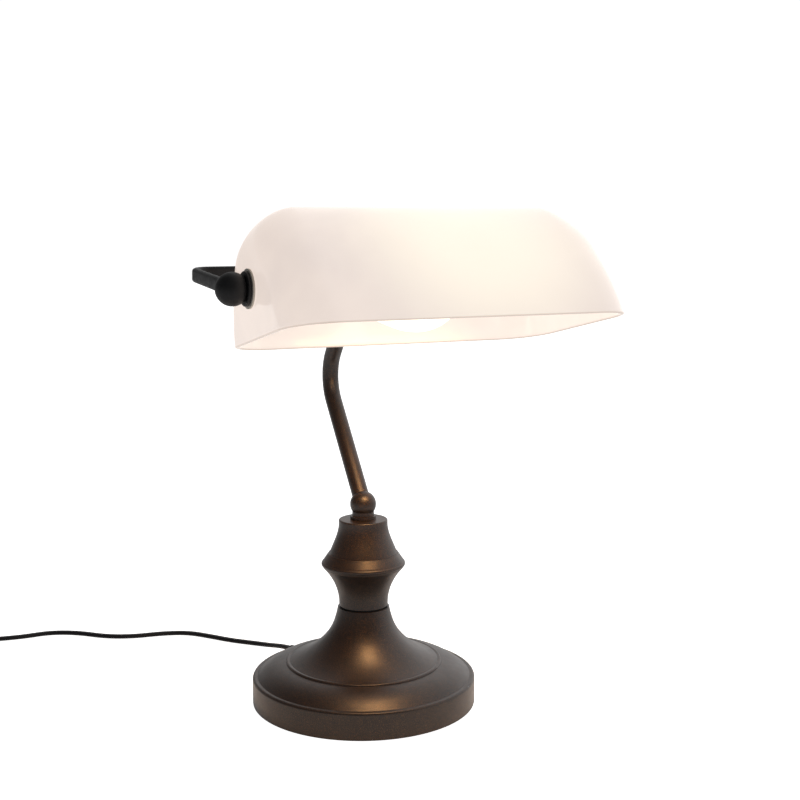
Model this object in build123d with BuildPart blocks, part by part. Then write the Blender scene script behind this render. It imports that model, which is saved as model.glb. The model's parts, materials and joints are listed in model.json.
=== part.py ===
"""Banker desk lamp: weighted round base, turned column, bent stem, flat-bar yoke and a tilting opal glass shade.

Frame: origin at the centre of the base's underside, +X along the shade, +Y to the lamp's back, +Z up. Millimetres.
"""
import os
from math import cos, pi, radians, sin, tan

from build123d import *

os.makedirs("parts", exist_ok=True)

# ---------------------------------------------------------------- driving dimensions (mm, degrees)
base_radius = 80.0
base_wall = 2.0
rim_height = 20.2
rim_rounding = 1.8
rim_width = 3.6
shoulder = (72.6, 23.1)
shoulder_middle = (64.2, 27.7)
shoulder_top = (56.2, 29.7)
step_rounding = 1.3
step_height = 31.0
skirt_foot = (53.2, 30.9)
skirt_middle = [(40.5, 37.0), (30.4, 45.2), (23.4, 54.4), (20.0, 63.2)]
skirt_top_radius = 18.4
skirt_top_height = 69.9
felt_thickness = 1.2
plate_thickness = 1.8
plate_radius = 77.4
plate_screw_circle = 58.0
plate_screw_radius = 2.0
plate_screw_head = 4.0
outlet_radius = 4.6

seat_ring_radius = 17.0
seat_ring_height = 1.3
column_foot_radius = 17.5
column_lower_flank = [(18.5, 80.9), (21.9, 89.7)]
column_bead = [(28.6, 98.9), (29.0, 99.9), (29.96, 101.5), (29.0, 103.1), (28.5, 104.0)]
column_band_top = (24.9, 109.2)
column_upper_flank = [(22.6, 113.2), (19.6, 120.5)]
column_top_radius = 17.4
column_top = 133.7
collar_radius = 9.2
collar_neck_radius = 7.75
rod_radius = 5.0
rod_bore = 3.5
rod_bottom = 9.5
rod_clearance = 0.3

ball_centre_height = 144.5
ball_radius = 9.25
stem_radius = 6.0
stem_wall = 1.2
stem_lean = 39.5
stem_socket = 3.5
stem_run = 109.5
stem_elbow_radius = 28.0
stem_neck_radius = 14.0
coupling_radius = 8.6
coupling_length = 5.0
coupling_socket = 3.0
coupling_neck = 7.8

pivot_y = -95.9
pivot_z = 304.4
shade_tilt = 12.0
shade_half_length = 113.0
shade_half_depth = 67.5
shade_height = 78.3
shade_pivot_height = 30.7
shade_offset = -5.3
shade_ridge = -2.1
shade_end_rise = 48.8
shade_end_inset = 30.0
shade_corner = 29.2
shade_front_exponent = 1.34
shade_back_exponent = 1.99
glass_wall = 3.6
glass_hole = 5.2
seat_depth = 0.15

yoke_rise = 3.6
yoke_reach = 87.0
yoke_half_width = 123.4
yoke_bar_height = 9.2
yoke_bar_depth = 5.0
yoke_bar_wall = 0.9
yoke_bar_rounding = 1.6
yoke_corner = 11.0
arm_start = 7.0
pivot_ball_radius = 10.2
flange_radius = 10.5
flange_thickness = 2.2
outer_washer_radius = 12.0
outer_washer_thickness = 1.2
inner_washer_radius = 11.0
inner_washer_thickness = 1.5
nut_radius = 8.2
nut_thickness = 3.0
running_gap = 0.1

bulb_radius = 29.5
bulb_centre_x = -3.0
bulb_length = 107.0

lead_radius = 1.3
cord_radius = 1.75
cord_height = 9.5
cord_angle = 11.0
relief_end = 102.0
coil_centre = (-273.0, 216.0)
coil_inner_radius = 22.8
coil_outer_radius = 34.2
coil_bottom = 0.7
coil_top = 14.4
switch_length = 60.0
switch_width = 27.0
switch_height = 20.0
switch_centre = (-304.5, 150.0)
rocker_tilt = 8.0
cord_entry = 9.0
plug_end = 90.0

# ---------------------------------------------------------------- shared planes
tilt_axis = Vector(0, sin(radians(shade_tilt)), cos(radians(shade_tilt)))
shade_plane = Plane(origin=(0, pivot_y, pivot_z), x_dir=(1, 0, 0), z_dir=tilt_axis)
rise_axis = Vector(0, -sin(radians(yoke_rise)), cos(radians(yoke_rise)))
yoke_plane = Plane(origin=(0, pivot_y, pivot_z), x_dir=(1, 0, 0), z_dir=rise_axis)
pivot_plane = Plane(origin=(0, pivot_y, pivot_z), x_dir=(0, 1, 0), z_dir=(1, 0, 0))
turning_plane = Plane(origin=(0, pivot_y, pivot_z), x_dir=(1, 0, 0), z_dir=(0, -1, 0))
pivot_axis = Axis((0, pivot_y, pivot_z), (1, 0, 0))
outlet = Vector(-sin(radians(cord_angle)), cos(radians(cord_angle)), 0)
outlet_plane = Plane(origin=(0, 0, cord_height), x_dir=(0, 0, 1), z_dir=outlet)
coil_plane = Plane(origin=(coil_centre[0], coil_centre[1], 0))


def save(part, label):
    """Name a finished piece and write it."""
    part.label = label
    export_step(part, f"parts/{label}.step")


def yoke_point(x, y, z=0.0):
    """A point given in the yoke's plane: x across, y back from the pivots, z square to the bar."""
    return yoke_plane.from_local_coords(Vector(x, y, z))


# ---------------------------------------------------------------- base
with BuildPart() as base_cover:
    with BuildSketch(Plane.XZ):
        with BuildLine():
            Polyline((base_radius - base_wall, 1.0), (base_radius, 1.0), (base_radius, rim_height - rim_rounding))
            RadiusArc((base_radius, rim_height - rim_rounding), (base_radius - rim_rounding, rim_height),
                      -rim_rounding)
            Polyline((base_radius - rim_rounding, rim_height), (base_radius - rim_width, rim_height), shoulder)
            ThreePointArc(shoulder, shoulder_middle, shoulder_top)
            Line(shoulder_top, (shoulder_top[0] - 0.2, step_height - step_rounding))
            RadiusArc((shoulder_top[0] - 0.2, step_height - step_rounding),
                      (shoulder_top[0] - 0.2 - step_rounding, step_height), -step_rounding)
            Line((shoulder_top[0] - 0.2 - step_rounding, step_height), skirt_foot)
            Spline(skirt_foot, *skirt_middle, (skirt_top_radius, skirt_top_height))
            Polyline((skirt_top_radius, skirt_top_height), (rod_radius + rod_clearance, skirt_top_height),
                     (rod_radius + rod_clearance, skirt_top_height - 3.0), (16.2, skirt_top_height - 3.0))
            Spline((16.2, skirt_top_height - 3.0), (21.2, 53.4), (28.6, 43.4), (51.0, step_height - 2.2))
            Polyline((51.0, step_height - 2.2), (70.5, 21.6), (base_radius - base_wall, 17.8),
                     (base_radius - base_wall, 1.0))
        make_face()
    revolve(axis=Axis.Z)
    with BuildSketch(outlet_plane.offset(base_radius - 6)):
        Circle(outlet_radius)
    extrude(amount=8, mode=Mode.SUBTRACT)
save(base_cover.part, "base_cover")

weight_bottom = felt_thickness + plate_thickness
with BuildPart() as base_weight:
    with BuildSketch(Plane.XZ):
        with BuildLine():
            Polyline((rod_radius + rod_clearance, 15.5), (14.0, 15.5), (14.0, weight_bottom), (74.0, weight_bottom),
                     (74.0, 12.5), (70.0, 14.5), (24.0, 16.5), (14.0, 24.0), (11.0, 40.0),
                     (11.0, skirt_top_height - 3.0), (rod_radius + rod_clearance, skirt_top_height - 3.0),
                     (rod_radius + rod_clearance, 15.5))
        make_face()
    revolve(axis=Axis.Z)
    with BuildSketch(Plane(origin=(0, 0, weight_bottom), x_dir=(cos(radians(cord_angle)), sin(radians(cord_angle)), 0),
                           z_dir=(0, 0, 1))):
        with Locations((0, 40)):
            Rectangle(17.0, 80.0)
    extrude(amount=9.6, mode=Mode.SUBTRACT)
    with BuildSketch(Plane.XY.offset(weight_bottom)):
        with PolarLocations(plate_screw_circle, 3, start_angle=-30):
            Circle(plate_screw_radius)
    extrude(amount=8.0, mode=Mode.SUBTRACT)
save(base_weight.part, "base_weight")

with BuildPart() as base_plate:
    with BuildSketch(Plane.XY.offset(felt_thickness)):
        Circle(plate_radius)
        with PolarLocations(plate_screw_circle, 3, start_angle=-30):
            Circle(plate_screw_radius, mode=Mode.SUBTRACT)
    extrude(amount=plate_thickness)
    with Locations(Plane.XY.offset(felt_thickness)):
        with PolarLocations(plate_screw_circle, 3, start_angle=-30):
            Cone(plate_screw_head, plate_screw_radius, plate_thickness,
                 align=(Align.CENTER, Align.CENTER, Align.MIN), mode=Mode.SUBTRACT)
save(base_plate.part, "base_plate")

with BuildPart() as plate_screws:
    with Locations(Plane.XY.offset(felt_thickness)):
        with PolarLocations(plate_screw_circle, 3, start_angle=-30):
            Cone(plate_screw_head, plate_screw_radius, plate_thickness,
                 align=(Align.CENTER, Align.CENTER, Align.MIN))
            Cylinder(plate_screw_radius, 9.0, align=(Align.CENTER, Align.CENTER, Align.MIN))
save(plate_screws.part, "plate_screws")

with BuildPart() as felt_pad:
    with BuildSketch():
        Circle(plate_radius - 1.4)
    extrude(amount=felt_thickness)
save(felt_pad.part, "felt_pad")

with BuildPart() as centre_rod:
    with BuildSketch(Plane.XY.offset(rod_bottom)):
        Circle(rod_radius)
        Circle(rod_bore, mode=Mode.SUBTRACT)
    extrude(amount=ball_centre_height - 2.0 - rod_bottom)
save(centre_rod.part, "centre_rod")

with BuildPart() as rod_washer:
    with BuildSketch(Plane.XY.offset(14.0)):
        Circle(11.0)
        Circle(rod_radius, mode=Mode.SUBTRACT)
    extrude(amount=1.5)
save(rod_washer.part, "rod_washer")

with BuildPart() as rod_nut:
    with BuildSketch(Plane.XY.offset(10.0)):
        RegularPolygon(8.5, 6)
        Circle(rod_radius, mode=Mode.SUBTRACT)
    extrude(amount=4.0)
save(rod_nut.part, "rod_nut")

# ---------------------------------------------------------------- column, collar and ball
column_foot = skirt_top_height + seat_ring_height
with BuildPart() as seat_ring:
    with BuildSketch(Plane.XY.offset(skirt_top_height)):
        Circle(seat_ring_radius)
        Circle(rod_radius + rod_clearance, mode=Mode.SUBTRACT)
    extrude(amount=seat_ring_height)
save(seat_ring.part, "seat_ring")

with BuildPart() as column:
    with BuildSketch(Plane.XZ):
        with BuildLine():
            Line((rod_radius + 0.1, column_foot), (column_foot_radius, column_foot))
            Spline((column_foot_radius, column_foot), *column_lower_flank, column_bead[0])
            Line(column_bead[0], column_bead[1])
            ThreePointArc(*column_bead[1:4])
            Polyline(column_bead[3], column_bead[4], column_band_top, (column_band_top[0] - 0.7, column_band_top[1]))
            Spline((column_band_top[0] - 0.7, column_band_top[1]), *column_upper_flank,
                   (column_top_radius, column_top - 1.0))
            RadiusArc((column_top_radius, column_top - 1.0), (column_top_radius - 1.0, column_top), -1.0)
            Polyline((column_top_radius - 1.0, column_top), (rod_radius + 0.1, column_top),
                     (rod_radius + 0.1, column_foot))
        make_face()
    revolve(axis=Axis.Z)
save(column.part, "column")

with BuildPart() as neck_collar:
    with BuildSketch(Plane.XY.offset(column_top)):
        Circle(collar_radius)
    extrude(amount=2.5)
    with BuildSketch(Plane.XY.offset(column_top + 2.5)):
        Circle(collar_neck_radius)
    extrude(amount=3.0)
    with Locations((0, 0, ball_centre_height)):
        Sphere(ball_radius + 0.02, mode=Mode.SUBTRACT)
    with BuildSketch(Plane.XY.offset(column_top)):
        Circle(rod_radius + 0.05)
    extrude(amount=6.0, mode=Mode.SUBTRACT)
save(neck_collar.part, "neck_collar")

lean = Vector(0, sin(radians(stem_lean)), cos(radians(stem_lean)))
ball_centre = Vector(0, 0, ball_centre_height)
stem_start = ball_centre + lean * stem_socket
stem_elbow = ball_centre + lean * stem_run
with BuildPart() as stem_ball:
    with Locations(ball_centre):
        Sphere(ball_radius)
    with BuildSketch(Plane.XY.offset(ball_centre_height - 12)):
        Circle(rod_radius)
    extrude(amount=12, mode=Mode.SUBTRACT)
    with BuildSketch(Plane(origin=stem_start, z_dir=lean)):
        Circle(stem_radius)
    extrude(amount=12, mode=Mode.SUBTRACT)
    with BuildSketch(Plane(origin=ball_centre - lean, z_dir=lean)):
        Circle(rod_bore)
    extrude(amount=stem_socket + 2, mode=Mode.SUBTRACT)
save(stem_ball.part, "stem_ball")

# ---------------------------------------------------------------- stem, coupling and yoke
bar_back = yoke_reach + yoke_bar_depth / 2
stem_neck = yoke_point(0, bar_back + coupling_length + coupling_neck)
stem_end = yoke_point(0, bar_back + coupling_length - coupling_socket)
with BuildPart() as stem:
    with BuildLine() as stem_path:
        FilletPolyline(stem_start, stem_elbow, stem_neck, stem_end,
                       radius=[stem_elbow_radius, stem_neck_radius])
    with BuildSketch(Plane(origin=stem_start, z_dir=stem_path.line % 0)):
        Circle(stem_radius)
        Circle(stem_radius - stem_wall, mode=Mode.SUBTRACT)
    sweep()
save(stem.part, "stem")

coupling_plane = Plane(origin=yoke_point(0, bar_back), x_dir=(1, 0, 0), z_dir=yoke_plane.y_dir)
with BuildPart() as stem_coupling:
    with BuildSketch(coupling_plane):
        Circle(coupling_radius)
    extrude(amount=coupling_length)
    chamfer(stem_coupling.edges().filter_by(GeomType.CIRCLE).group_by(Axis.Y)[-1], 1.0)
    with BuildSketch(coupling_plane.offset(coupling_length - coupling_socket)):
        Circle(stem_radius)
    extrude(amount=coupling_length, mode=Mode.SUBTRACT)
    with BuildSketch(coupling_plane.offset(-yoke_bar_wall)):
        Circle(3.0)
    extrude(amount=yoke_bar_wall)
    with BuildSketch(coupling_plane.offset(-2 * yoke_bar_wall)):
        Circle(1.9)
    extrude(amount=coupling_length, mode=Mode.SUBTRACT)
save(stem_coupling.part, "stem_coupling")

with BuildPart() as yoke:
    with BuildSketch(yoke_plane.offset(-yoke_bar_height / 2)):
        RectangleRounded(2 * yoke_half_width + yoke_bar_depth, 2 * yoke_reach + yoke_bar_depth,
                         yoke_corner + yoke_bar_depth / 2)
        RectangleRounded(2 * yoke_half_width - yoke_bar_depth, 2 * yoke_reach - yoke_bar_depth,
                         yoke_corner - yoke_bar_depth / 2, mode=Mode.SUBTRACT)
        with Locations((0, arm_start - 100)):
            Rectangle(400, 200, mode=Mode.SUBTRACT)
    extrude(amount=yoke_bar_height)
    flat_faces = yoke.faces().filter_by(yoke_plane)
    fillet(flat_faces.edges().filter_by(lambda edge: edge.length > 2 * yoke_bar_depth), yoke_bar_rounding)
    bore_depth = yoke_bar_depth - 2 * yoke_bar_wall
    with BuildSketch(yoke_plane.offset(yoke_bar_wall - yoke_bar_height / 2)):
        RectangleRounded(2 * yoke_half_width + bore_depth, 2 * yoke_reach + bore_depth,
                         yoke_corner + bore_depth / 2)
        RectangleRounded(2 * yoke_half_width - bore_depth, 2 * yoke_reach - bore_depth,
                         yoke_corner - bore_depth / 2, mode=Mode.SUBTRACT)
        with Locations((0, -100)):
            Rectangle(400, 200, mode=Mode.SUBTRACT)
    extrude(amount=yoke_bar_height - 2 * yoke_bar_wall, mode=Mode.SUBTRACT)
    with BuildSketch(coupling_plane.offset(-2 * yoke_bar_wall)):
        Circle(3.0)
    extrude(amount=3 * yoke_bar_wall, mode=Mode.SUBTRACT)
save(yoke.part, "yoke")

# ---------------------------------------------------------------- pivots, the same on both ends of the shade
outer_washer_x = shade_half_length - seat_depth
flange_x = outer_washer_x + outer_washer_thickness + running_gap
ball_face_x = flange_x + flange_thickness
inner_face_x = shade_half_length - glass_wall + seat_depth
nut_x = inner_face_x - inner_washer_thickness - running_gap
nipple_outer_x = yoke_half_width - 3.0
nipple_inner_x = {"left": 98.0, "right": 103.5}

for side, sign in (("left", -1), ("right", 1)):
    axial = Plane(origin=(0, pivot_y, pivot_z), x_dir=(0, 1, 0), z_dir=(sign, 0, 0))
    ball_at = Vector(sign * yoke_half_width, pivot_y, pivot_z)

    with BuildPart() as pivot_ball:
        with Locations(ball_at):
            Sphere(pivot_ball_radius)
        with BuildSketch(axial.offset(ball_face_x - 20)):
            Circle(20)
        extrude(amount=20, mode=Mode.SUBTRACT)
        with BuildSketch(axial.offset(ball_face_x - 1)):
            Circle(rod_radius)
        extrude(amount=yoke_half_width + 3.5 - ball_face_x + 1, mode=Mode.SUBTRACT)
        with BuildSketch(Plane(origin=yoke_point(sign * yoke_half_width, arm_start), x_dir=(1, 0, 0),
                               z_dir=yoke_plane.y_dir)):
            Rectangle(yoke_bar_depth, yoke_bar_height)
        extrude(amount=8, mode=Mode.SUBTRACT)
        with BuildSketch(Plane(origin=yoke_point(sign * yoke_half_width, 0), x_dir=(1, 0, 0),
                               z_dir=yoke_plane.y_dir)):
            Circle(1.6)
        extrude(amount=arm_start + 1, mode=Mode.SUBTRACT)
    save(pivot_ball.part, f"pivot_ball_{side}")

    with BuildPart() as pivot_flange:
        with BuildSketch(axial.offset(flange_x)):
            Circle(flange_radius)
            Circle(rod_radius, mode=Mode.SUBTRACT)
        extrude(amount=flange_thickness)
        chamfer(pivot_flange.edges().filter_by(GeomType.CIRCLE).sort_by(SortBy.RADIUS)[-2:], 0.35)
    save(pivot_flange.part, f"pivot_flange_{side}")

    with BuildPart() as outer_washer:
        with BuildSketch(axial.offset(outer_washer_x)):
            Circle(outer_washer_radius)
            Circle(glass_hole, mode=Mode.SUBTRACT)
        extrude(amount=outer_washer_thickness)
    save(outer_washer.part, f"outer_washer_{side}")

    with BuildPart() as inner_washer:
        with BuildSketch(axial.offset(inner_face_x - inner_washer_thickness)):
            Circle(inner_washer_radius)
            Circle(glass_hole, mode=Mode.SUBTRACT)
        extrude(amount=inner_washer_thickness)
    save(inner_washer.part, f"inner_washer_{side}")

    with BuildPart() as lock_nut:
        with BuildSketch(axial.offset(nut_x - nut_thickness)):
            RegularPolygon(nut_radius, 6)
            Circle(rod_radius, mode=Mode.SUBTRACT)
        extrude(amount=nut_thickness)
    save(lock_nut.part, f"lock_nut_{side}")

    with BuildPart() as nipple:
        with BuildSketch(axial.offset(nipple_inner_x[side])):
            Circle(rod_radius)
            Circle(rod_bore, mode=Mode.SUBTRACT)
        extrude(amount=nipple_outer_x - nipple_inner_x[side])
    save(nipple.part, f"nipple_{side}")


# ---------------------------------------------------------------- glass shade
def shade_section(rise, inset):
    """Plan of the shade at a height above its rim: half length, front edge, back edge and corner radius."""
    top = shade_height - inset
    end = max(0.0, (rise - shade_end_rise) / (top - shade_end_rise))
    half_length = shade_half_length - inset - (shade_end_inset - inset) * (1 - (1 - end ** 2) ** 0.5)
    share = rise / top
    front_reach = shade_half_depth + shade_ridge - inset
    back_reach = shade_half_depth - shade_ridge - inset
    front = shade_ridge - front_reach * (1 - share ** shade_front_exponent) ** (1 / shade_front_exponent)
    back = shade_ridge + back_reach * (1 - share ** shade_back_exponent) ** (1 / shade_back_exponent)
    corner = min(shade_corner - inset, 0.48 * (back - front))
    return half_length, front + shade_offset, back + shade_offset, corner


def shade_sections(inset, foot):
    """Level outlines of the dome, drawn inwards by the inset; the first lies a foot below the rim."""
    section_count = 10
    sections = []
    for step in range(section_count):
        rise = (shade_height - inset) * sin(radians(82.0) * step / (section_count - 1))
        half_length, front, back, corner = shade_section(rise, inset)
        level = rise - shade_pivot_height - (foot if step == 0 else 0.0)
        with BuildSketch(shade_plane.offset(level)) as outline:
            with Locations((0, (front + back) / 2)):
                RectangleRounded(2 * half_length, back - front, corner)
        sections.append(outline.sketch)
    return sections


with BuildPart() as shade_glass:
    loft(shade_sections(0.0, 0.0))
    loft(shade_sections(glass_wall, 0.01), mode=Mode.SUBTRACT)
    with BuildSketch(pivot_plane.offset(-1.2 * shade_half_length)):
        Circle(glass_hole)
    extrude(amount=2.4 * shade_half_length, mode=Mode.SUBTRACT)
    for sign in (-1, 1):
        axial = Plane(origin=(0, pivot_y, pivot_z), x_dir=(0, 1, 0), z_dir=(sign, 0, 0))
        with BuildSketch(axial.offset(outer_washer_x)):
            Circle(outer_washer_radius + 0.2)
        extrude(amount=3.0, mode=Mode.SUBTRACT)
        with BuildSketch(axial.offset(inner_face_x - 3.0)):
            Circle(outer_washer_radius)
        extrude(amount=3.0, mode=Mode.SUBTRACT)
save(shade_glass.part, "shade_glass")


# ---------------------------------------------------------------- lampholder and bulb, on the left nipple
def turned(label, points):
    """A piece turned about the pivot axis, from a closed outline of (distance along X, radius) points."""
    with BuildPart() as piece:
        with BuildSketch(turning_plane):
            with BuildLine():
                Polyline(*points, points[0])
            make_face()
        revolve(axis=pivot_axis)
    save(piece.part, label)


bulb_contact_x = bulb_centre_x + bulb_radius - bulb_length
holder_back = bulb_contact_x - 22.4
holder_split = bulb_contact_x - 7.0
holder_mouth = bulb_contact_x + 28.0

turned("holder_cap", [
    (holder_back, rod_radius), (holder_back, 9.0), (holder_back + 4.0, 9.0), (holder_split - 6.0, 18.0),
    (holder_split, 19.4), (holder_split, 17.4), (holder_split - 6.0, 16.0), (holder_back + 6.0, rod_radius),
])
turned("holder_shell", [
    (holder_split, 15.2), (holder_split, 19.4), (holder_split + 7.0, 19.4), (holder_split + 9.0, 18.0),
    (holder_mouth, 17.0), (holder_mouth, 15.2),
])
turned("holder_core", [
    (holder_split, 3.0), (holder_split, 15.0), (bulb_contact_x - 2.0, 15.0), (bulb_contact_x - 2.0, 3.0),
])
turned("holder_contact", [
    (holder_split + 1.0, 0.0), (holder_split + 1.0, 2.9), (bulb_contact_x, 2.9), (bulb_contact_x, 0.0),
])
turned("holder_sleeve", [
    (bulb_contact_x - 1.0, 13.5), (bulb_contact_x - 1.0, 14.2), (holder_mouth - 4.0, 14.2),
    (holder_mouth - 4.0, 13.5),
])
turned("bulb_contact", [
    (bulb_contact_x, 0.0), (bulb_contact_x, 3.5), (bulb_contact_x + 2.0, 4.6), (bulb_contact_x + 2.0, 0.0),
])
cap_end = bulb_contact_x + 25.0
turned("bulb_cap", [
    (bulb_contact_x + 2.0, 0.0), (bulb_contact_x + 2.0, 7.0), (bulb_contact_x + 5.0, 13.2), (cap_end, 13.2),
    (cap_end, 12.2), (bulb_contact_x + 6.0, 12.2), (bulb_contact_x + 6.0, 0.0),
])

bulb_wall = 0.8
with BuildPart() as bulb_globe:
    with BuildSketch(turning_plane):
        for inset, mode in ((0.0, Mode.ADD), (bulb_wall, Mode.SUBTRACT)):
            size = bulb_radius - inset
            with BuildLine():
                neck = Line((cap_end, 0), (cap_end, 13.8 - inset))
                Spline(neck @ 1, (cap_end + 14.0, 17.6 - inset), (bulb_centre_x - 18.0, 0.87 * size),
                       (bulb_centre_x, size), tangents=((1, 0.12), (1, 0)))
                RadiusArc((bulb_centre_x, size), (bulb_centre_x + size, 0), size)
                Line((bulb_centre_x + size, 0), (cap_end, 0))
            make_face(mode=mode)
    revolve(axis=pivot_axis)
save(bulb_globe.part, "bulb_globe")


# ---------------------------------------------------------------- cord
def route_radii(points):
    """Radius of each corner's arc: 0.45 of its shorter run over the tangent of half its turn."""
    radii = []
    for before, here, after in zip(points, points[1:], points[2:]):
        run_in = Vector(here) - Vector(before)
        run_out = Vector(after) - Vector(here)
        turn = run_in.get_angle(run_out)
        radii.append(0.45 * min(run_in.length, run_out.length) / tan(radians(turn / 2)))
    return radii


def cord_tube(points, label):
    """A round tube along straight runs joined by tangent arcs."""
    radii = route_radii(points)
    with BuildPart() as tube:
        with BuildLine():
            route = FilletPolyline(*points, radius=radii)
        with BuildSketch(Plane(origin=route @ 0, z_dir=route % 0)):
            Circle(cord_radius)
        sweep()
    length = route.length
    print(label, "length", round(length, 1), "radii", [round(radius, 1) for radius in radii],
          "volume share", round(tube.part.volume / (pi * cord_radius ** 2 * length), 4))
    save(tube.part, label)
    return length


with BuildPart() as cord_relief:
    with BuildSketch(outlet_plane.offset(75.6)):
        Circle(6.0)
    extrude(amount=1.9)
    with BuildSketch(outlet_plane.offset(77.5)):
        Circle(4.5)
    extrude(amount=3.0)
    with BuildSketch(outlet_plane.offset(80.5)):
        Circle(6.0)
    extrude(amount=1.8)
    with BuildSketch(outlet_plane.offset(82.3)):
        Circle(4.6)
    with BuildSketch(outlet_plane.offset(relief_end)):
        Circle(2.9)
    loft()
    with BuildSketch(outlet_plane.offset(70)):
        Circle(1.6)
    extrude(amount=relief_end - 70 + 1, mode=Mode.SUBTRACT)
save(cord_relief.part, "cord_relief")

relief_tip = outlet * (relief_end + 0.2) + Vector(0, 0, cord_height)
floor_z = cord_radius + 0.05
lead_points = [
    tuple(relief_tip),
    (-22.4, 114.0, 7.6),
    (-27.0, 130.0, 4.0),
    (-35.0, 146.5, floor_z),
    (-50.0, 161.0, floor_z),
    (-62.5, 178.0, floor_z),
    (-77.0, 195.5, floor_z),
    (-97.5, 202.5, floor_z),
    (-121.0, 204.5, floor_z),
    (-142.0, 214.0, floor_z),
    (-160.5, 233.0, floor_z),
    (-182.0, 243.5, floor_z),
    (-204.0, 241.5, floor_z),
    (-227.0, 244.5, floor_z),
    (-250.0, 249.5, floor_z + 0.3),
    (coil_centre[0], coil_centre[1] + 31.6, coil_bottom + cord_radius + 0.1),
]
tail_points = [
    (coil_centre[0] - 31.3, coil_centre[1], 12.2),
    (switch_centre[0] + 0.5, 203.0, 11.6),
    (switch_centre[0], 190.0, 10.4),
    (switch_centre[0], switch_centre[1] + switch_length / 2, cord_entry),
]
plug_points = [
    (switch_centre[0], switch_centre[1] - switch_length / 2, cord_entry),
    (switch_centre[0] - 0.3, 107.0, 9.0),
    (switch_centre[0] + 0.3, 97.0, 7.8),
    (switch_centre[0], plug_end + 0.2, 7.0),
]
cord_tube(lead_points, "cord_lead")
cord_tube(tail_points, "cord_tail")
cord_tube(plug_points, "cord_end")

with BuildPart() as cord_coil:
    with BuildSketch(Plane(origin=coil_plane.origin, x_dir=(1, 0, 0), z_dir=(0, -1, 0))):
        with Locations(((coil_inner_radius + coil_outer_radius) / 2, (coil_bottom + coil_top) / 2)):
            RectangleRounded(coil_outer_radius - coil_inner_radius, coil_top - coil_bottom, 1.6)
    revolve(axis=Axis(coil_plane.origin, (0, 0, 1)))
save(cord_coil.part, "cord_coil")

tie_wall = 0.6
with BuildPart() as cord_tie:
    with BuildSketch(Plane(origin=coil_plane.origin, x_dir=(0, -1, 0), z_dir=(-1, 0, 0)).offset(-3.5)):
        with Locations(((coil_inner_radius + coil_outer_radius) / 2, (coil_bottom + coil_top) / 2)):
            RectangleRounded(coil_outer_radius - coil_inner_radius + 2.6, coil_top - coil_bottom + 2 * tie_wall, 1.6)
            RectangleRounded(coil_outer_radius - coil_inner_radius + 1.4, coil_top - coil_bottom, 1.0,
                             mode=Mode.SUBTRACT)
    extrude(amount=7.0)
save(cord_tie.part, "cord_tie")

# ---------------------------------------------------------------- inner lead, from the strain relief to the left pivot
clamp_at = 60.0
lead_bend = outlet * 72.0 + Vector(0, 0, cord_height)
rod_entry = Vector(0, 0, rod_bottom - 3.0)
with BuildPart() as inner_lead:
    with BuildLine() as lead_path:
        FilletPolyline(outlet * (relief_end - 0.1) + Vector(0, 0, cord_height),
                       lead_bend,
                       rod_entry,
                       ball_centre,
                       stem_elbow,
                       stem_neck,
                       yoke_point(0, yoke_reach),
                       yoke_point(-yoke_half_width, yoke_reach),
                       yoke_point(-yoke_half_width, 2.0),
                       radius=[40.0, 3.0, 20.0, stem_elbow_radius, stem_neck_radius, 1.5, yoke_corner])
    with BuildSketch(Plane(origin=lead_path.line @ 0, z_dir=lead_path.line % 0)):
        Circle(lead_radius)
    sweep()
save(inner_lead.part, "inner_lead")

with BuildPart() as holder_lead:
    with BuildSketch(Plane(origin=(-nipple_outer_x + 0.5, pivot_y, pivot_z), x_dir=(0, 1, 0), z_dir=(1, 0, 0))):
        Circle(lead_radius)
    extrude(amount=nipple_outer_x - 0.5 + holder_split - 0.3)
save(holder_lead.part, "holder_lead")

with BuildPart() as cord_clamp:
    with BuildSketch(Plane(origin=outlet * clamp_at + Vector(0, 0, weight_bottom),
                           x_dir=(cos(radians(cord_angle)), sin(radians(cord_angle)), 0), z_dir=(0, 0, 1))):
        RectangleRounded(15.0, 9.0, 1.5)
    extrude(amount=7.2)
    with BuildSketch(Plane(origin=rod_entry, z_dir=lead_bend - rod_entry)):
        Circle(lead_radius + 0.02)
    extrude(amount=80, mode=Mode.SUBTRACT)
save(cord_clamp.part, "cord_clamp")

# ---------------------------------------------------------------- in-line switch
rocker_pivot = (switch_centre[0], switch_centre[1], switch_height - 4.4)
case_split = switch_height / 2
cord_bore = cord_radius + 0.15
screw_places = [(switch_centre[0] - 6.0, switch_centre[1] + end * 20.0) for end in (-1, 1)]
with BuildPart() as switch_case_lower:
    with BuildSketch(Plane.XY.offset(0.2)):
        with Locations(switch_centre):
            SlotOverall(switch_length, switch_width, rotation=90)
    extrude(amount=case_split - 0.2)
    chamfer(switch_case_lower.edges().group_by(Axis.Z)[0], 1.5)
    with BuildSketch(Plane.XY.offset(2.2)):
        with Locations(switch_centre):
            SlotOverall(switch_length - 5.0, switch_width - 5.0, rotation=90)
    extrude(amount=case_split, mode=Mode.SUBTRACT)
    with BuildSketch(Plane(origin=(switch_centre[0], 0, cord_entry), x_dir=(1, 0, 0), z_dir=(0, 1, 0))):
        Circle(cord_bore)
    extrude(amount=400, mode=Mode.SUBTRACT)
    for radius, start, depth in ((2.5, 0.0, 2.1), (1.25, 0.0, 4.0)):
        with BuildSketch(Plane.XY.offset(start)):
            with Locations(*screw_places):
                Circle(radius)
        extrude(amount=depth, mode=Mode.SUBTRACT)
save(switch_case_lower.part, "switch_case_lower")

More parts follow.
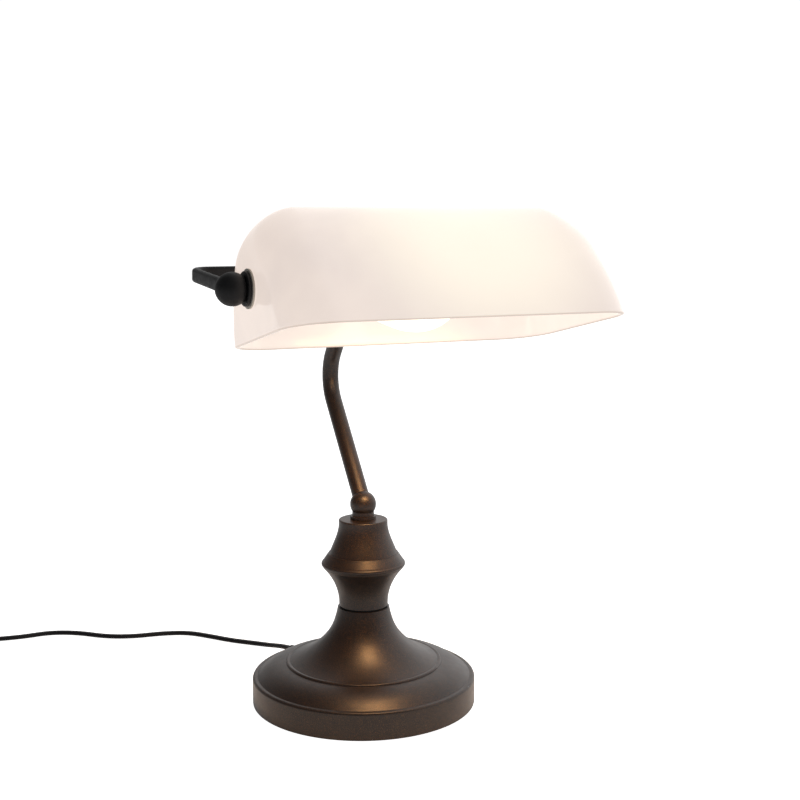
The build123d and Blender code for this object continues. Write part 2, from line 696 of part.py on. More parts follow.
pocket_length = 20.6
pocket_width = 13.0
with BuildPart() as switch_case_upper:
    with BuildSketch(Plane.XY.offset(case_split)):
        with Locations(switch_centre):
            SlotOverall(switch_length, switch_width, rotation=90)
    extrude(amount=switch_height - case_split)
    fillet(switch_case_upper.edges().group_by(Axis.Z)[-1], 3.0)
    with BuildSketch(Plane.XY.offset(case_split - 1)):
        with Locations(switch_centre):
            SlotOverall(switch_length - 5.0, switch_width - 5.0, rotation=90)
    extrude(amount=switch_height - case_split - 1.6, mode=Mode.SUBTRACT)
    with BuildSketch(Plane.XY.offset(case_split)):
        with Locations(switch_centre):
            Rectangle(switch_width - 9.0, pocket_length + 4.0)
    extrude(amount=switch_height - case_split - 2.0)
    with BuildSketch(Plane.XY.offset(case_split - 1)):
        with Locations(switch_centre):
            Rectangle(pocket_width, pocket_length)
    extrude(amount=switch_height, mode=Mode.SUBTRACT)
    with BuildSketch(Plane.XY.offset(2.4)):
        with Locations(*screw_places):
            Circle(2.6)
    extrude(amount=switch_height - 3.4)
    with BuildSketch(Plane.XY.offset(2.4)):
        with Locations(*screw_places):
            Circle(1.25)
    extrude(amount=10.0, mode=Mode.SUBTRACT)
    with BuildSketch(Plane(origin=rocker_pivot, x_dir=(0, 1, 0), z_dir=(1, 0, 0)).offset(-8.3)):
        Circle(1.25)
    extrude(amount=16.6, mode=Mode.SUBTRACT)
    for end in (-1, 1):
        wall_y = switch_centre[1] + end * (switch_length / 2 - 6.0)
        with BuildSketch(Plane(origin=(switch_centre[0], wall_y, cord_entry), x_dir=(1, 0, 0), z_dir=(0, end, 0))):
            Circle(cord_bore)
        extrude(amount=20, mode=Mode.SUBTRACT)
save(switch_case_upper.part, "switch_case_upper")

rocker_plane = Plane(origin=rocker_pivot, x_dir=(0, cos(radians(rocker_tilt)), sin(radians(rocker_tilt))),
                     z_dir=(1, 0, 0))
with BuildPart() as switch_rocker:
    with BuildSketch(rocker_plane.offset(-6.1)):
        with BuildLine():
            Polyline((-9.2, 1.2), (-3.0, -3.4), (3.0, -3.4), (9.2, 1.2), (9.2, 4.8))
            ThreePointArc((9.2, 4.8), (0.0, 3.6), (-9.2, 4.8))
            Line((-9.2, 4.8), (-9.2, 1.2))
        make_face()
    extrude(amount=12.2)
    fillet(switch_rocker.edges().filter_by(Axis.X).sort_by(Axis.Z)[-2:], 0.6)
    with BuildSketch(rocker_plane.offset(-8.0)):
        Circle(1.2)
    extrude(amount=16.0)
save(switch_rocker.part, "switch_rocker")

with BuildPart() as case_screws:
    for radius, start, depth in ((2.4, 0.6, 1.5), (1.2, 2.1, 9.0)):
        with BuildSketch(Plane.XY.offset(start)):
            with Locations(*screw_places):
                Circle(radius)
        extrude(amount=depth)
save(case_screws.part, "case_screws")

# ---------------------------------------------------------------- plug
plug_plane = Plane(origin=(switch_centre[0], plug_end, 7.0), x_dir=(1, 0, 0), z_dir=(0, -1, 0))
pin_spacing = 18.6
with BuildPart() as plug_body:
    with BuildSketch(plug_plane):
        Circle(2.7)
    with BuildSketch(plug_plane.offset(14.0)):
        Circle(4.6)
    loft()
    with BuildSketch(plug_plane.offset(14.0)):
        RectangleRounded(12.0, 9.4, 4.4)
    with BuildSketch(plug_plane.offset(24.0)):
        RectangleRounded(27.0, 13.4, 6.2)
    loft()
    with BuildSketch(plug_plane.offset(24.0)):
        RectangleRounded(27.0, 13.4, 6.2)
    extrude(amount=14.0)
    with BuildSketch(plug_plane.offset(32.0)):
        with Locations((-pin_spacing / 2, 0), (pin_spacing / 2, 0)):
            Circle(2.0)
    extrude(amount=8.0, mode=Mode.SUBTRACT)
save(plug_body.part, "plug_body")

with BuildPart() as plug_pins:
    with BuildSketch(plug_plane.offset(32.0)):
        with Locations((-pin_spacing / 2, 0), (pin_spacing / 2, 0)):
            Circle(2.0)
    extrude(amount=25.0)
    fillet(plug_pins.edges().group_by(Axis.Y)[0], 1.4)
save(plug_pins.part, "plug_pins")
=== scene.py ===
"""Looks of the banker desk lamp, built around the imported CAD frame."""

import json
from math import cos, pi, radians, sin, sqrt

import bpy
from mathutils import Matrix, Vector


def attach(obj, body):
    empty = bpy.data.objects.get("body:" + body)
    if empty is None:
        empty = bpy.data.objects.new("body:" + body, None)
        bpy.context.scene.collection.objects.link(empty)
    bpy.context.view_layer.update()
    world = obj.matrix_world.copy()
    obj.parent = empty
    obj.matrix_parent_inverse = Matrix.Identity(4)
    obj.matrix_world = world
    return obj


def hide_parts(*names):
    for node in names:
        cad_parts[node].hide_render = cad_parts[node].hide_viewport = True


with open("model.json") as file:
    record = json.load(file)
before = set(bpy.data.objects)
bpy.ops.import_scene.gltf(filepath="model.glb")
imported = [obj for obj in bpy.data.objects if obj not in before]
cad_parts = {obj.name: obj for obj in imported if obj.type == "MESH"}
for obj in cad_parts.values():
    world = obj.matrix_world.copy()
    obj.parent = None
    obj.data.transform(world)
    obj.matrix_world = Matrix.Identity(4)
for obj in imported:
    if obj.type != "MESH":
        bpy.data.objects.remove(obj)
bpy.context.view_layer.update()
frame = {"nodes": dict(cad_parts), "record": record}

MM = 0.001

# ---------------------------------------------------------------- the lamp's own measures, mm and degrees
PIVOT_Y = -95.9
PIVOT_Z = 304.4
SHADE_TILT = 12.0
SHADE_HALF_LENGTH = 113.0
SHADE_HALF_DEPTH = 67.5
SHADE_HEIGHT = 78.3
SHADE_PIVOT_HEIGHT = 30.7
SHADE_OFFSET = -5.3
SHADE_RIDGE = -2.1
SHADE_END_RISE = 48.8
SHADE_END_INSET = 30.0
SHADE_CORNER = 29.2
SHADE_FRONT_EXPONENT = 1.34
SHADE_BACK_EXPONENT = 1.99
GLASS_WALL = 3.6
RIM_ROUNDING = 1.3

YOKE_RISE = 3.6
YOKE_REACH = 87.0
YOKE_HALF_WIDTH = 123.4
YOKE_BAR_HEIGHT = 9.2
YOKE_BAR_DEPTH = 5.0
YOKE_BAR_ROUNDING = 2.2
YOKE_CORNER = 11.0
YOKE_ARM_START = 7.0

CORD_WIDTH = 5.0
CORD_THICKNESS = 3.2
CORD_ANGLE = 11.0
CORD_HEIGHT = 9.5
RELIEF_END = 102.0
FLOOR_LINE = 1.8
COIL_CENTRE = (-273.0, 216.0)

# ---------------------------------------------------------------- camera, floor and light
CAMERA_AZIMUTH = 22.81
CAMERA_TURN = 1.68
CAMERA_PITCH = 8.08
CAMERA_DISTANCE = 0.90891
CAMERA_HEIGHT = 0.34755

SEEN_WHITE = 1.05
ROOM_AMBIENT = 0.10
FLOOR_AMBIENT = 0.18
FLOOR_HALF = 6.0
# where the room is brighter: direction, first and full cosine toward it, and how much it adds
ROOM_SIDES = (
    ((0.41, 0.91, -0.05), 0.3, 0.95, 0.20),
    ((0.80, 0.15, 0.30), 0.0, 0.95, 0.80),
)


def make_camera():
    """The photograph's viewpoint: in front of the lamp, to its left, level with the top of the shade."""
    azimuth = radians(CAMERA_AZIMUTH)
    heading = azimuth + radians(CAMERA_TURN)
    pitch = radians(CAMERA_PITCH)
    forward = Vector((sin(heading) * cos(pitch), cos(heading) * cos(pitch), -sin(pitch)))
    right = Vector((cos(heading), -sin(heading), 0.0))
    up = right.cross(forward)
    data = bpy.data.cameras.new("camera")
    data.sensor_width = 36.0
    data.lens = 58.765
    data.shift_x = -0.00075
    data.shift_y = 0.0007
    data.clip_start = 0.01
    camera = bpy.data.objects.new("camera", data)
    bpy.context.collection.objects.link(camera)
    place = Matrix((right, up, -forward)).transposed().to_4x4()
    away = Vector((-sin(azimuth), -cos(azimuth), 0.0))
    place.translation = away * CAMERA_DISTANCE + Vector((0.0, 0.0, CAMERA_HEIGHT))
    camera.matrix_world = place
    bpy.context.scene.camera = camera


def add_area_light(name, place, target, size, power, color=(1.0, 1.0, 1.0)):
    """A soft rectangular light aimed at a point."""
    data = bpy.data.lights.new(name, "AREA")
    data.shape = "RECTANGLE"
    data.size, data.size_y = size
    data.energy = power
    data.color = color
    light = bpy.data.objects.new(name, data)
    bpy.context.collection.objects.link(light)
    light.location = place
    aim = Vector(target) - Vector(place)
    light.rotation_euler = aim.to_track_quat("-Z", "Y").to_euler()
    light.visible_camera = False
    return light


def white_when_seen(nodes, links, ambient):
    """A strength that is white to the camera itself and ambient, a number or a socket, to all other rays."""
    seen = nodes.new("ShaderNodeMix")
    seen.inputs["B"].default_value = SEEN_WHITE
    links.new(nodes.new("ShaderNodeLightPath").outputs["Is Camera Ray"], seen.inputs["Factor"])
    if isinstance(ambient, float):
        seen.inputs["A"].default_value = ambient
    else:
        links.new(ambient, seen.inputs["A"])
    return seen.outputs["Result"]


def make_world():
    """A white room, which lights the lamp softly from behind and more strongly from its right."""
    world = bpy.data.worlds.new("studio")
    bpy.context.scene.world = world
    world.use_nodes = True
    nodes, links = world.node_tree.nodes, world.node_tree.links
    nodes.clear()
    output = nodes.new("ShaderNodeOutputWorld")
    background = nodes.new("ShaderNodeBackground")
    background.inputs["Color"].default_value = (1.0, 1.0, 1.0, 1.0)
    coordinates = nodes.new("ShaderNodeTexCoord")
    strength = None
    for side, start, full, share in ROOM_SIDES:
        toward = nodes.new("ShaderNodeVectorMath")
        toward.operation = "DOT_PRODUCT"
        toward.inputs[1].default_value = side
        ramp = nodes.new("ShaderNodeMapRange")
        ramp.interpolation_type = "SMOOTHSTEP"
        ramp.inputs["From Min"].default_value = start
        ramp.inputs["From Max"].default_value = full
        ramp.inputs["To Max"].default_value = share
        total = nodes.new("ShaderNodeMath")
        total.operation = "ADD"
        total.inputs[1].default_value = ROOM_AMBIENT
        links.new(coordinates.outputs["Generated"], toward.inputs[0])
        links.new(toward.outputs["Value"], ramp.inputs["Value"])
        links.new(ramp.outputs["Result"], total.inputs[0])
        if strength is not None:
            links.new(strength, total.inputs[1])
        strength = total.outputs[0]
    links.new(white_when_seen(nodes, links, strength), background.inputs["Strength"])
    links.new(background.outputs[0], output.inputs["Surface"])


def make_floor():
    """A plain pale floor, without a visible shadow, that throws only a little light up."""
    mesh = bpy.data.meshes.new("floor")
    corners = [(x * FLOOR_HALF, y * FLOOR_HALF, 0) for x, y in ((-1, -1), (1, -1), (1, 1), (-1, 1))]
    mesh.from_pydata(corners, [], [(0, 1, 2, 3)])
    floor = bpy.data.objects.new("floor", mesh)
    bpy.context.collection.objects.link(floor)
    material = bpy.data.materials.new("floor_white")
    material.use_nodes = True
    nodes, links = material.node_tree.nodes, material.node_tree.links
    shader = nodes["Principled BSDF"]
    shader.inputs["Base Color"].default_value = (0.9, 0.9, 0.9, 1.0)
    shader.inputs["Roughness"].default_value = 0.9
    shader.inputs["Specular IOR Level"].default_value = 0.1
    shader.inputs["Emission Color"].default_value = (1.0, 1.0, 1.0, 1.0)
    links.new(white_when_seen(nodes, links, FLOOR_AMBIENT), shader.inputs["Emission Strength"])
    mesh.materials.append(material)


make_camera()
make_world()
make_floor()
bpy.context.scene.view_settings.view_transform = "Standard"
top_light = add_area_light("top_light", (0.3, 0.5, 1.5), (0.0, 0.0, 0.0), (2.6, 2.2), 5.0)
top_light.visible_glossy = False
lamp_glow = add_area_light("lamp_glow", (0.0, -0.096, 0.272), (0.0, 0.03, 0.0), (0.10, 0.05), 0.16,
                           (1.0, 0.50, 0.17))
lamp_glow.data.spread = radians(118)


# ---------------------------------------------------------------- materials
# painted glow of the shade's glass: its centre beside the bulb, and the distances where it fades out and
# where it is full
PAINTED_GLOW_CENTRE = (0.016, (PIVOT_Y - 30.0) * MM, (PIVOT_Z + 16.0) * MM)
PAINTED_GLOW_EDGE = 0.105
PAINTED_GLOW_CORE = 0.020
# the band of painted shade along the glass's rim: the heights above the rim where it starts and where it is
# full
PAINTED_RIM_SHADE = 0.0010
PAINTED_RIM_SHADE_CORE = 0.0003


class Look:
    """A node material under construction: a Principled shader and the textures that feed it."""

    def __init__(self, name, roughness=0.5, metallic=0.0, specular=0.5):
        self.material = bpy.data.materials.new(name)
        self.material.use_nodes = True
        self.nodes = self.material.node_tree.nodes
        self.links = self.material.node_tree.links
        self.shader = self.nodes["Principled BSDF"]
        self.set("Roughness", roughness)
        self.set("Metallic", metallic)
        self.set("Specular IOR Level", specular)
        self.place = self.nodes.new("ShaderNodeTexCoord").outputs["Object"]

    def set(self, socket, value):
        """Put a constant on the shader's own socket."""
        self.shader.inputs[socket].default_value = value

    def noise(self, scale, detail=3.0, roughness=0.5, distortion=0.0):
        """Noise over the object, about one feature in 1/scale metres."""
        node = self.nodes.new("ShaderNodeTexNoise")
        node.inputs["Scale"].default_value = scale
        node.inputs["Detail"].default_value = detail
        node.inputs["Roughness"].default_value = roughness
        node.inputs["Distortion"].default_value = distortion
        self.links.new(self.place, node.inputs["Vector"])
        return node.outputs["Fac"]

    def spread(self, value, low, high, to_low=0.0, to_high=1.0):
        """Map a value between two limits onto another range."""
        node = self.nodes.new("ShaderNodeMapRange")
        node.inputs["From Min"].default_value = low
        node.inputs["From Max"].default_value = high
        node.inputs["To Min"].default_value = to_low
        node.inputs["To Max"].default_value = to_high
        self.links.new(value, node.inputs["Value"])
        return node.outputs["Result"]

    def mix(self, share, first, second):
        """Blend two colours, each a tuple or a socket."""
        node = self.nodes.new("ShaderNodeMix")
        node.data_type = "RGBA"
        self.links.new(share, node.inputs["Factor"])
        for socket, color in ((node.inputs[6], first), (node.inputs[7], second)):
            if isinstance(color, tuple):
                socket.default_value = (*color, 1.0)
            else:
                self.links.new(color, socket)
        return node.outputs[2]

    def feed(self, socket, value):
        """Drive one of the shader's sockets."""
        self.links.new(value, self.shader.inputs[socket])

    def bump(self, height, depth, strength=1.0):
        """Raise the surface by depth metres where height is one."""
        node = self.nodes.new("ShaderNodeBump")
        node.inputs["Strength"].default_value = strength
        node.inputs["Distance"].default_value = depth
        self.links.new(height, node.inputs["Height"])
        self.links.new(node.outputs["Normal"], self.shader.inputs["Normal"])


def bronze_paint():
    """Satin antique-bronze paint: nearly black brown with fine golden flakes."""
    look = Look("bronze_paint", metallic=0.35, specular=0.5)
    clouds = look.spread(look.noise(45.0, 4.0), 0.35, 0.65)
    ground = look.mix(clouds, (0.008, 0.0058, 0.0060), (0.014, 0.0098, 0.0092))
    flakes = look.spread(look.noise(2600.0, 1.0), 0.52, 0.70)
    look.feed("Base Color", look.mix(flakes, ground, (0.112, 0.053, 0.019)))
    look.feed("Roughness", look.spread(look.noise(160.0, 3.0), 0.3, 0.7, 0.42, 0.50))
    look.set("Coat Weight", 0.55)
    look.set("Coat Roughness", 0.33)
    look.bump(look.noise(1500.0, 2.0), 0.00005, 0.5)
    return look.material


def black_paint():
    """Satin black paint with a fine grain."""
    look = Look("black_paint", specular=0.28)
    clouds = look.spread(look.noise(60.0, 4.0), 0.35, 0.65)
    look.feed("Base Color", look.mix(clouds, (0.007, 0.007, 0.008), (0.012, 0.012, 0.013)))
    look.feed("Roughness", look.spread(look.noise(300.0, 3.0), 0.3, 0.7, 0.44, 0.56))
    look.bump(look.noise(1800.0, 2.0), 0.00005, 0.4)
    return look.material


def opal_glass():
    """Polished opal glass with a painted glow in its emission, standing in for the bulb's light shining
    through, brightest beside the bulb, and a darker band of painted shade along its rim.
    """
    look = Look("opal_glass", roughness=0.10, specular=0.35)
    clouds = look.spread(look.noise(14.0, 3.0), 0.3, 0.7)
    look.feed("Base Color", look.mix(clouds, (0.34, 0.32, 0.30), (0.38, 0.36, 0.34)))
    look.set("Subsurface Weight", 0.15)
    look.set("Subsurface Radius", (0.002, 0.0016, 0.0012))
    look.set("Subsurface Scale", 1.0)
    look.set("Coat Weight", 0.25)
    look.set("Coat Roughness", 0.05)
    # painted glow: the emission colour is brightest near a point beside the bulb and fades to an even,
    # streaked painted glow further off
    offset = look.nodes.new("ShaderNodeVectorMath")
    offset.operation = "DISTANCE"
    offset.inputs[1].default_value = PAINTED_GLOW_CENTRE
    look.links.new(look.place, offset.inputs[0])
    painted_glow_falloff = look.nodes.new("ShaderNodeMapRange")
    painted_glow_falloff.interpolation_type = "SMOOTHSTEP"
    painted_glow_falloff.inputs["From Min"].default_value = PAINTED_GLOW_EDGE
    painted_glow_falloff.inputs["From Max"].default_value = PAINTED_GLOW_CORE
    look.links.new(offset.outputs["Value"], painted_glow_falloff.inputs["Value"])
    painted_glow_streaks = look.spread(look.noise(9.0, 3.0, 0.55, 0.8), 0.38, 0.62)
    painted_glow_outer = look.mix(painted_glow_streaks, (0.68, 0.585, 0.535), (0.75, 0.640, 0.575))
    painted_glow = look.mix(painted_glow_falloff.outputs["Result"], painted_glow_outer, (0.90, 0.81, 0.68))
    # painted shade: a thin band of darker, warmer emission along the glass's rim, masked by height above the
    # rim
    height = look.nodes.new("ShaderNodeVectorMath")
    height.operation = "DOT_PRODUCT"
    tilt = radians(SHADE_TILT)
    height.inputs[1].default_value = (0.0, sin(tilt), cos(tilt))
    look.links.new(look.place, height.inputs[0])
    rim = (PIVOT_Y * sin(tilt) + PIVOT_Z * cos(tilt) - SHADE_PIVOT_HEIGHT) * MM
    edge = look.spread(height.outputs["Value"], rim + PAINTED_RIM_SHADE, rim + PAINTED_RIM_SHADE_CORE)
    look.feed("Emission Color", look.mix(edge, painted_glow, (0.46, 0.37, 0.31)))
    look.set("Emission Strength", 1.0)
    look.bump(look.noise(22.0, 2.0), 0.0004, 0.25)
    return look.material


def glowing_bulb():
    """Opal bulb, lit."""
    look = Look("bulb_glass", roughness=0.12)
    clouds = look.spread(look.noise(30.0, 2.0), 0.3, 0.7)
    look.feed("Base Color", look.mix(clouds, (0.90, 0.88, 0.84), (0.94, 0.92, 0.88)))
    look.feed("Emission Color", look.mix(clouds, (1.0, 0.86, 0.64), (1.0, 0.90, 0.70)))
    look.set("Emission Strength", 1.7)
    return look.material


def metal(name, dark, light, low, high, grain=240.0):
    """Bare metal with a little variation in colour and polish."""
    look = Look(name, metallic=1.0)
    clouds = look.spread(look.noise(80.0, 4.0), 0.3, 0.7)
    look.feed("Base Color", look.mix(clouds, dark, light))
    look.feed("Roughness", look.spread(look.noise(grain, 4.0), 0.3, 0.7, low, high))
    look.bump(look.noise(grain * 8, 2.0), 0.00002, 0.4)
    return look.material


def moulded(name, dark, light, low, high, grain=900.0, depth=0.00004):
    """Moulded plastic or rubber with a fine spark-eroded grain."""
    look = Look(name, specular=0.28)
    clouds = look.spread(look.noise(90.0, 3.0), 0.3, 0.7)
    look.feed("Base Color", look.mix(clouds, dark, light))
    look.feed("Roughness", look.spread(look.noise(200.0, 3.0), 0.3, 0.7, low, high))
    look.bump(look.noise(grain, 2.0), depth, 0.6)
    return look.material


def felt():
    """Black felt: matte, with a tangle of fibres."""
    look = Look("felt", roughness=0.95, specular=0.1)
    fibres = look.noise(1400.0, 6.0, 0.75, 1.5)
    tangle = look.spread(fibres, 0.3, 0.7)
    look.feed("Base Color", look.mix(tangle, (0.010, 0.010, 0.010), (0.045, 0.043, 0.042)))
    look.set("Sheen Weight", 0.4)
    look.bump(fibres, 0.0003, 0.8)
    return look.material


LOOKS = {
    "bronze_paint": bronze_paint(),
    "black_paint": black_paint(),
    "ballast": metal("ballast", (0.05, 0.05, 0.05), (0.11, 0.105, 0.10), 0.6, 0.8, 120.0),
    "steel": metal("steel", (0.50, 0.50, 0.50), (0.62, 0.61, 0.60), 0.28, 0.42),
    "felt": felt(),
    "gasket": moulded("gasket", (0.006, 0.006, 0.006), (0.014, 0.014, 0.014), 0.6, 0.8),
    "nylon": moulded("nylon", (0.50, 0.46, 0.40), (0.62, 0.58, 0.51), 0.25, 0.4),
    "opal_glass": opal_glass(),
    "bulb_glass": glowing_bulb(),
    "bulb_metal": metal("bulb_metal", (0.66, 0.66, 0.65), (0.78, 0.78, 0.76), 0.2, 0.34),
    "brass": metal("brass", (0.62, 0.42, 0.16), (0.78, 0.56, 0.24), 0.2, 0.34),
    "holder_plastic": moulded("holder_plastic", (0.012, 0.012, 0.012), (0.022, 0.021, 0.020), 0.3, 0.42),
    "cord_jacket": moulded("cord_jacket", (0.006, 0.006, 0.0075), (0.011, 0.011, 0.0135), 0.38, 0.50, 500.0,
                           0.00003),
    "switch_plastic": moulded("switch_plastic", (0.010, 0.010, 0.011), (0.018, 0.018, 0.019), 0.32, 0.46),
    "plug_plastic": moulded("plug_plastic", (0.010, 0.010, 0.011), (0.018, 0.018, 0.019), 0.42, 0.56),
    "pin_plating": metal("pin_plating", (0.70, 0.70, 0.69), (0.82, 0.82, 0.80), 0.12, 0.24),
}

for entry in frame["record"]["subparts"]:
    node = frame["nodes"][entry["node"]]
    node.data.materials.clear()
    node.data.materials.append(LOOKS[entry["material_slot"]])


# ---------------------------------------------------------------- mesh helpers
def add_mesh(name, points, faces, slot, body, replaces=(), sharp=35.0):
    """A smooth-shaded mesh piece from points in mm, which rides on a body and may stand for CAD nodes."""
    mesh = bpy.data.meshes.new(name)
    mesh.from_pydata([Vector(point) * MM for point in points], [], faces)
    mesh.validate()
    mesh.polygons.foreach_set("use_smooth", [True] * len(mesh.polygons))
    mesh.set_sharp_from_angle(angle=radians(sharp))
    mesh.materials.append(LOOKS[slot])
    piece = bpy.data.objects.new(name, mesh)
    bpy.context.collection.objects.link(piece)
    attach(piece, body)
    if replaces:
        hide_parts(*replaces)
    return piece


def skin(name, rings, slot, body, replaces=(), sharp=35.0):
    """A closed surface through rings of points, with its two ends capped."""
    count = len(rings[0])
    points = [point for ring in rings for point in ring]
    faces = []
    for step in range(len(rings) - 1):
        here, there = step * count, (step + 1) * count
        for index in range(count):
            after = (index + 1) % count
            faces.append((here + index, here + after, there + after, there + index))
    faces.append(tuple(reversed(range(count))))
    faces.append(tuple(range(len(points) - count, len(points))))
    return add_mesh(name, points, faces, slot, body, replaces, sharp)


def swept(name, centres, section, up, slot, body, replaces=()):
    """Carry a closed section of (across, up) points along centres, keeping it level with up."""
    rings = []
    for index, centre in enumerate(centres):
        ahead = centres[min(index + 1, len(centres) - 1)] - centres[max(index - 1, 0)]
        across = ahead.cross(up).normalized()
        over = across.cross(ahead).normalized()
        rings.append([centre + across * x + over * y for x, y in section])
    return skin(name, rings, slot, body, replaces)


def arc(centre, radius, start, end, steps=6):
    """Points of a circle's arc, from one angle to another in degrees."""
    angles = [radians(start + (end - start) * step / steps) for step in range(steps + 1)]
    return [(centre[0] + radius * cos(angle), centre[1] + radius * sin(angle)) for angle in angles]


def rounded_rectangle(width, height, corner, steps=5):
    """Outline of a rectangle with rounded corners."""
    outline = []
    for quarter, (sx, sy) in enumerate(((1, 1), (-1, 1), (-1, -1), (1, -1))):
        centre = (sx * (width / 2 - corner), sy * (height / 2 - corner))
        outline += arc(centre, corner, 90 * quarter, 90 * quarter + 90, steps)
    return outline


# ---------------------------------------------------------------- glass shade
def shade_section(rise, inset):
    """Plan of the shade at a height above its rim: half length, front edge, back edge and corner radius."""
    top = SHADE_HEIGHT - inset
    end = max(0.0, (rise - SHADE_END_RISE) / (top - SHADE_END_RISE))
    half_length = SHADE_HALF_LENGTH - inset - (SHADE_END_INSET - inset) * (1 - sqrt(max(0.0, 1 - end ** 2)))
    share = min(1.0, rise / top)
    front_reach = SHADE_HALF_DEPTH + SHADE_RIDGE - inset
    back_reach = SHADE_HALF_DEPTH - SHADE_RIDGE - inset
    front = SHADE_RIDGE - front_reach * (1 - share ** SHADE_FRONT_EXPONENT) ** (1 / SHADE_FRONT_EXPONENT)
    back = SHADE_RIDGE + back_reach * (1 - share ** SHADE_BACK_EXPONENT) ** (1 / SHADE_BACK_EXPONENT)
    limit = max(0.001, 0.48 * (back - front))
    corner = ((SHADE_CORNER - inset) ** -4 + limit ** -4) ** -0.25
    return half_length, front + SHADE_OFFSET, back + SHADE_OFFSET, corner


def shade_ring(rise, inset):
    """A level outline of the shade, as points in the lamp's frame."""
    half_length, front, back, corner = shade_section(rise, inset)
    middle = (front + back) / 2
    reach_x, reach_y = half_length - corner, (back - front) / 2 - corner
    outline = []
    for quarter, (sx, sy) in enumerate(((1, 1), (-1, 1), (-1, -1), (1, -1))):
        outline += arc((sx * reach_x, sy * reach_y), corner, 90 * quarter, 90 * quarter + 90, 14)
        start = outline[-1]
        if quarter % 2 == 0:
            count, goal = 40, (-sx * reach_x, start[1])
        else:
            count, goal = 16, (start[0], -sy * reach_y)
        for step in range(1, count):
            share = step / count
            outline.append((start[0] + (goal[0] - start[0]) * share, start[1] + (goal[1] - start[1]) * share))
    lift = rise - SHADE_PIVOT_HEIGHT
    c, s = cos(radians(SHADE_TILT)), sin(radians(SHADE_TILT))
    return [Vector((x, PIVOT_Y + (y + middle) * c + lift * s, PIVOT_Z - (y + middle) * s + lift * c))
            for x, y in outline]


def make_shade():
    """The glass: outer skin down from the ridge, rounded rim, and inner skin back up."""
    rows = 56
    edge = RIM_ROUNDING
    rises = [sin(pi / 2 * step / rows) for step in range(rows + 1)]
    outer = [(SHADE_HEIGHT * share, 0.0) for share in reversed(rises) if SHADE_HEIGHT * share > edge + 0.4]
    inner = [((SHADE_HEIGHT - GLASS_WALL) * share, GLASS_WALL) for share in rises
             if (SHADE_HEIGHT - GLASS_WALL) * share > edge + 0.4]
    lip = [(edge - y, edge - x) for x, y in arc((0, 0), edge, 0, 90, 5)]
    far_lip = [(rise, GLASS_WALL - inset) for rise, inset in reversed(lip)]
    rings = [shade_ring(rise, inset) for rise, inset in outer + lip + far_lip + inner]
    return skin("opal_shade", rings, "opal_glass", "shade", ("shade_glass",), sharp=60.0)


make_shade()


# ---------------------------------------------------------------- yoke
def yoke_point(x, reach):
    """A point of the yoke's plane: along the shade and back from the pivot."""
    rise = radians(YOKE_RISE)
    return Vector((x, PIVOT_Y + reach * cos(rise), PIVOT_Z + reach * sin(rise)))


def make_yoke():
    """The flat bar: from one pivot ball back, across behind the shade and forward to the other ball."""
    bend = 8
    corner_x, corner_y = YOKE_HALF_WIDTH - YOKE_CORNER, YOKE_REACH - YOKE_CORNER
    right = arc((corner_x, corner_y), YOKE_CORNER, 0, 90, bend)
    left = [(-x, y) for x, y in reversed(right)]
    route = [(YOKE_HALF_WIDTH, YOKE_ARM_START), *right, *left, (-YOKE_HALF_WIDTH, YOKE_ARM_START)]
    section = rounded_rectangle(YOKE_BAR_DEPTH, YOKE_BAR_HEIGHT, YOKE_BAR_ROUNDING)
    rise = radians(YOKE_RISE)
    swept("yoke_bar", [yoke_point(x, y) for x, y in route], section, Vector((0, -sin(rise), cos(rise))),
          "black_paint", "stand", ("yoke",))


make_yoke()

# ---------------------------------------------------------------- cord
OUTLET = Vector((-sin(radians(CORD_ANGLE)), cos(radians(CORD_ANGLE)), 0.0))
RELIEF_GAP = 0.2
RELIEF_TIP = OUTLET * (RELIEF_END + RELIEF_GAP) + Vector((0, 0, CORD_HEIGHT))
LEAD_ROUTE = [
    (-22.4, 114.0, 7.6),
    (-27.0, 130.0, 4.0),
    (-35.0, 146.5, FLOOR_LINE),
    (-50.0, 161.0, FLOOR_LINE),
    (-62.5, 178.0, FLOOR_LINE),
    (-77.0, 195.5, FLOOR_LINE),
    (-97.5, 202.5, FLOOR_LINE),
    (-121.0, 204.5, FLOOR_LINE),
    (-142.0, 214.0, FLOOR_LINE),
    (-160.5, 233.0, FLOOR_LINE),
    (-182.0, 243.5, FLOOR_LINE),
    (-204.0, 241.5, FLOOR_LINE),
    (-227.0, 244.5, FLOOR_LINE),
    (-250.0, 249.5, FLOOR_LINE + 0.3),
]
TAIL_ROUTE = [
    (-304.0, 203.0, 11.6),
    (-304.5, 190.0, 10.4),
    (-304.5, 180.0, 9.0),
    (-304.5, 120.0, 9.0),
    (-304.8, 107.0, 9.0),
    (-304.2, 97.0, 7.8),
    (-304.5, 90.2, 7.0),
]
COIL_OUTER = 31.4
COIL_INNER = 25.8
COIL_COLUMNS = 2 * [COIL_OUTER, COIL_INNER, COIL_INNER, COIL_OUTER]
COIL_LAYERS = [0, 0, 1, 1, 2, 2, 3, 3]
COIL_TURNS = 7.25
COIL_STEPS = 16
LAYER_RISE = 3.4
COIL_FLOOR = 2.5
TURN_SHIFT = 0.2
LAST_RISE_START = 6.9
LAST_RISE = 0.35


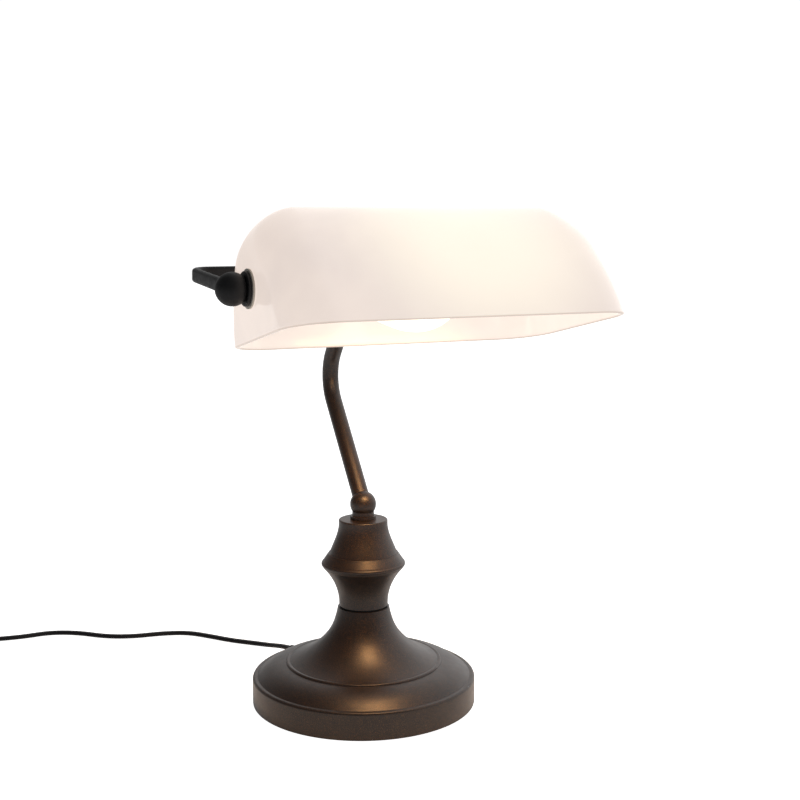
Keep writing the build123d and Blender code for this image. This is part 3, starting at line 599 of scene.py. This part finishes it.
def coil_route():
    """Turns of the wound cord, out and in and upwards, from the coil's back round to its left side."""
    points = []
    for step in range(int(COIL_TURNS * COIL_STEPS) + 1):
        turn = step / COIL_STEPS
        here = int(turn)
        ahead = min(here + 1, len(COIL_LAYERS) - 1)
        shift = max(0.0, (turn - here - 1 + TURN_SHIFT) / TURN_SHIFT)
        if here == len(COIL_LAYERS) - 1:
            shift = 1.0
        if here == len(COIL_LAYERS) - 2 and turn > LAST_RISE_START:
            shift = (turn - LAST_RISE_START) / LAST_RISE
        radius = COIL_COLUMNS[here] + (COIL_COLUMNS[ahead] - COIL_COLUMNS[here]) * shift
        layer = COIL_LAYERS[here] + (COIL_LAYERS[ahead] - COIL_LAYERS[here]) * shift
        angle = pi / 2 + 2 * pi * turn
        points.append((COIL_CENTRE[0] + radius * cos(angle), COIL_CENTRE[1] + radius * sin(angle),
                       COIL_FLOOR + LAYER_RISE * layer))
    return points


def smooth_line(points, order=3):
    """The points, in mm, of a NURBS line that has the given control points."""
    data = bpy.data.curves.new("route", "CURVE")
    data.dimensions = "3D"
    data.resolution_u = 6
    spline = data.splines.new("NURBS")
    spline.points.add(len(points) - 1)
    for target, point in zip(spline.points, points):
        target.co = (*point, 1.0)
    spline.order_u = order
    spline.use_endpoint_u = True
    carrier = bpy.data.objects.new("route", data)
    line = bpy.data.meshes.new_from_object(carrier)
    found = [vertex.co.copy() for vertex in line.vertices]
    bpy.data.objects.remove(carrier)
    bpy.data.curves.remove(data)
    bpy.data.meshes.remove(line)
    return found


def flat_cord_section():
    """Outline of the flat twin cord: two round cores side by side in one jacket."""
    radius = CORD_THICKNESS / 2
    reach = CORD_WIDTH / 2 - radius
    return arc((reach, 0), radius, -90, 90, 8) + arc((-reach, 0), radius, 90, 270, 8)


def make_cord():
    """The free mains cord, from the strain relief to the plug, wound up past the left of the view."""
    route = [tuple(RELIEF_TIP), *LEAD_ROUTE, *coil_route(), *TAIL_ROUTE]
    line = smooth_line(route)
    cord = swept("mains_cord", line, flat_cord_section(), Vector((0, 0, 1)), "cord_jacket", "stand",
                 ("cord_lead", "cord_coil", "cord_tail", "cord_end"))


make_cord()
